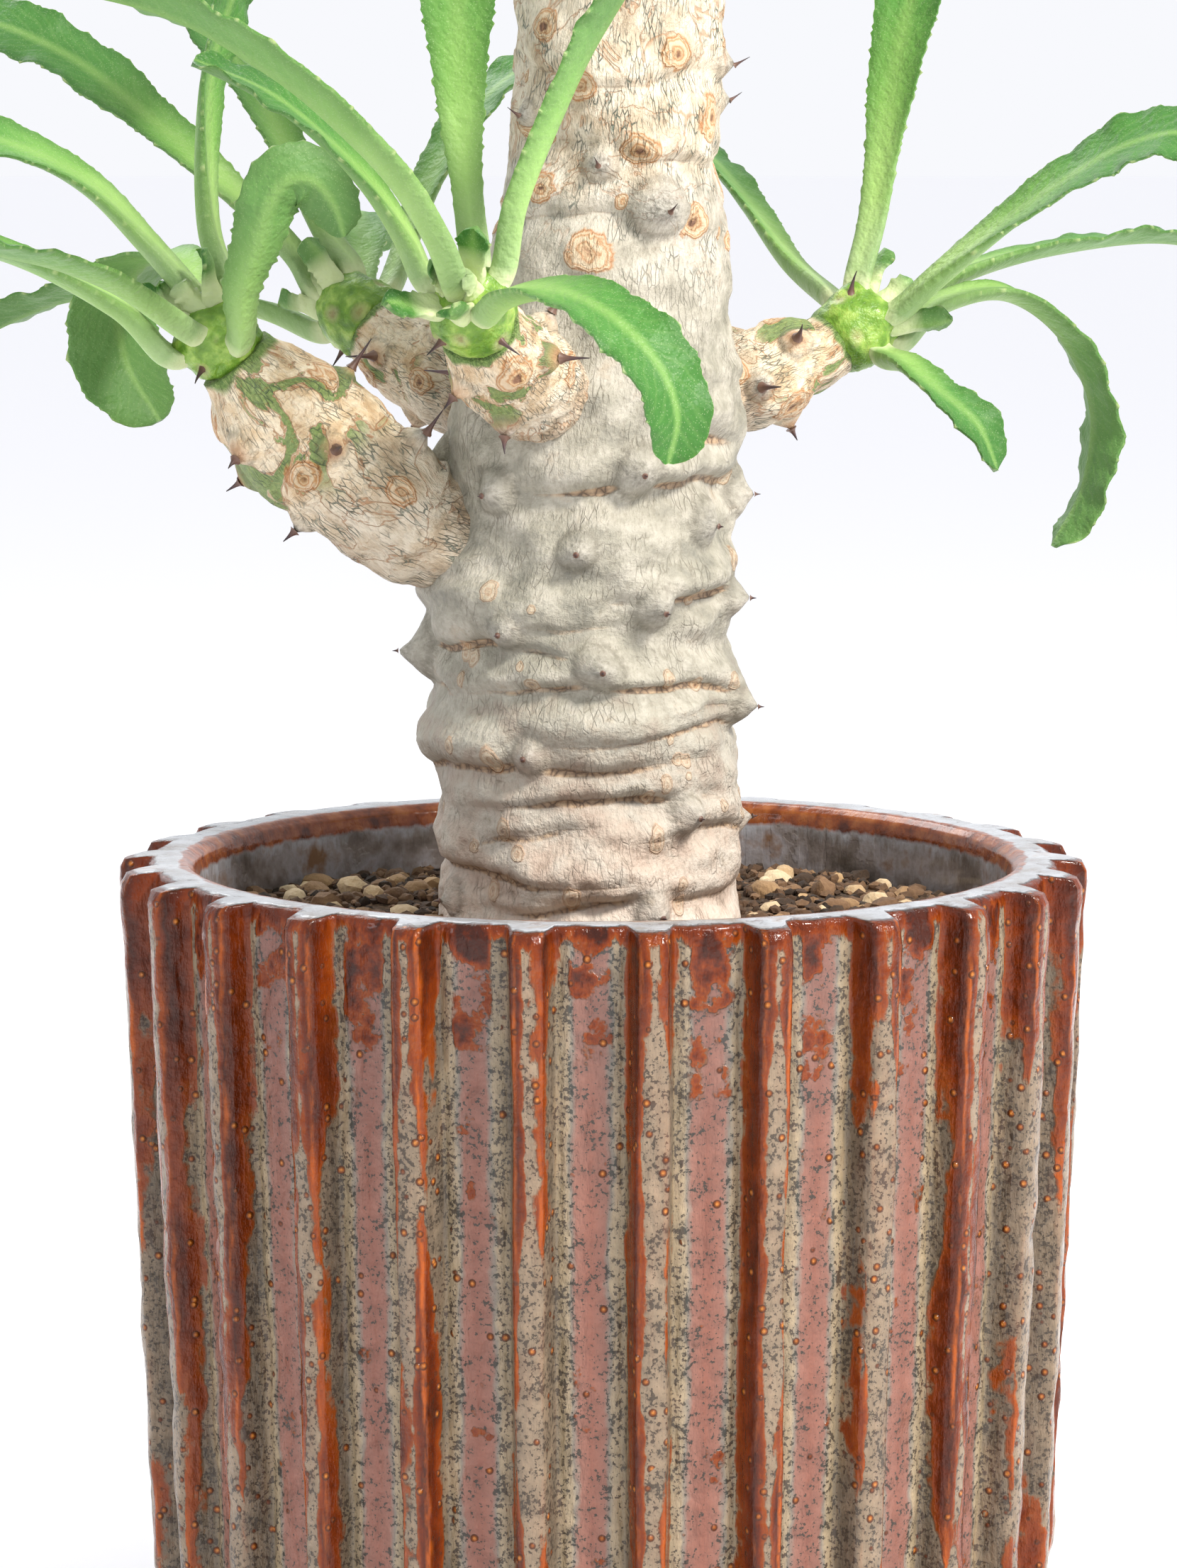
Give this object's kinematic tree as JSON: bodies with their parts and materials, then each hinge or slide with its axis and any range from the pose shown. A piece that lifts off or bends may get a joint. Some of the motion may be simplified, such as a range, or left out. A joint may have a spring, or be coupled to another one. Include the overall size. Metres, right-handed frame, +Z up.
{
  "type": "potted euphorbia",
  "caption": "Thick-stemmed spiny euphorbia with short branches and rosettes of long toothed leaves, in a round ribbed glazed pot of gritty soil.",
  "frame": {"origin": "middle of the pot's foot, on the surface it stands on", "axes": "+Z up along the trunk, -Y towards the side the picture shows, +X to its right"},
  "size_m": [0.2424, 0.2021, 0.3511],
  "materials": {
    "glaze": "glossy",
    "potting_mix": "matte",
    "bark": "matte",
    "tip_skin": "satin",
    "leaf": "satin"
  },
  "bodies": {
    "root": {"pot": "glaze", "soil": "potting_mix", "stem": "bark", "tip_top": "tip_skin", "tip_left": "tip_skin", "tip_back_left": "tip_skin", "tip_front": "tip_skin", "tip_right": "tip_skin", "leaf_left_1": "leaf", "leaf_left_2": "leaf", "leaf_left_3": "leaf", "leaf_left_4": "leaf", "leaf_left_5": "leaf", "leaf_left_6": "leaf", "leaf_back_left_1": "leaf", "leaf_back_left_2": "leaf", "leaf_back_left_3": "leaf", "leaf_back_left_4": "leaf", "leaf_back_left_5": "leaf", "leaf_front_1": "leaf", "leaf_front_2": "leaf", "leaf_front_3": "leaf", "leaf_front_4": "leaf", "leaf_front_5": "leaf", "leaf_right_1": "leaf", "leaf_right_2": "leaf", "leaf_right_3": "leaf", "leaf_right_4": "leaf", "leaf_right_5": "leaf", "leaf_right_6": "leaf", "leaf_top_1": "leaf", "leaf_top_2": "leaf", "leaf_top_3": "leaf", "leaf_top_4": "leaf", "leaf_top_5": "leaf", "leaf_top_6": "leaf", "leaf_top_7": "leaf", "leaf_top_8": "leaf", "leaf_top_9": "leaf", "leaf_top_10": "leaf"}
  },
  "joints": []
}
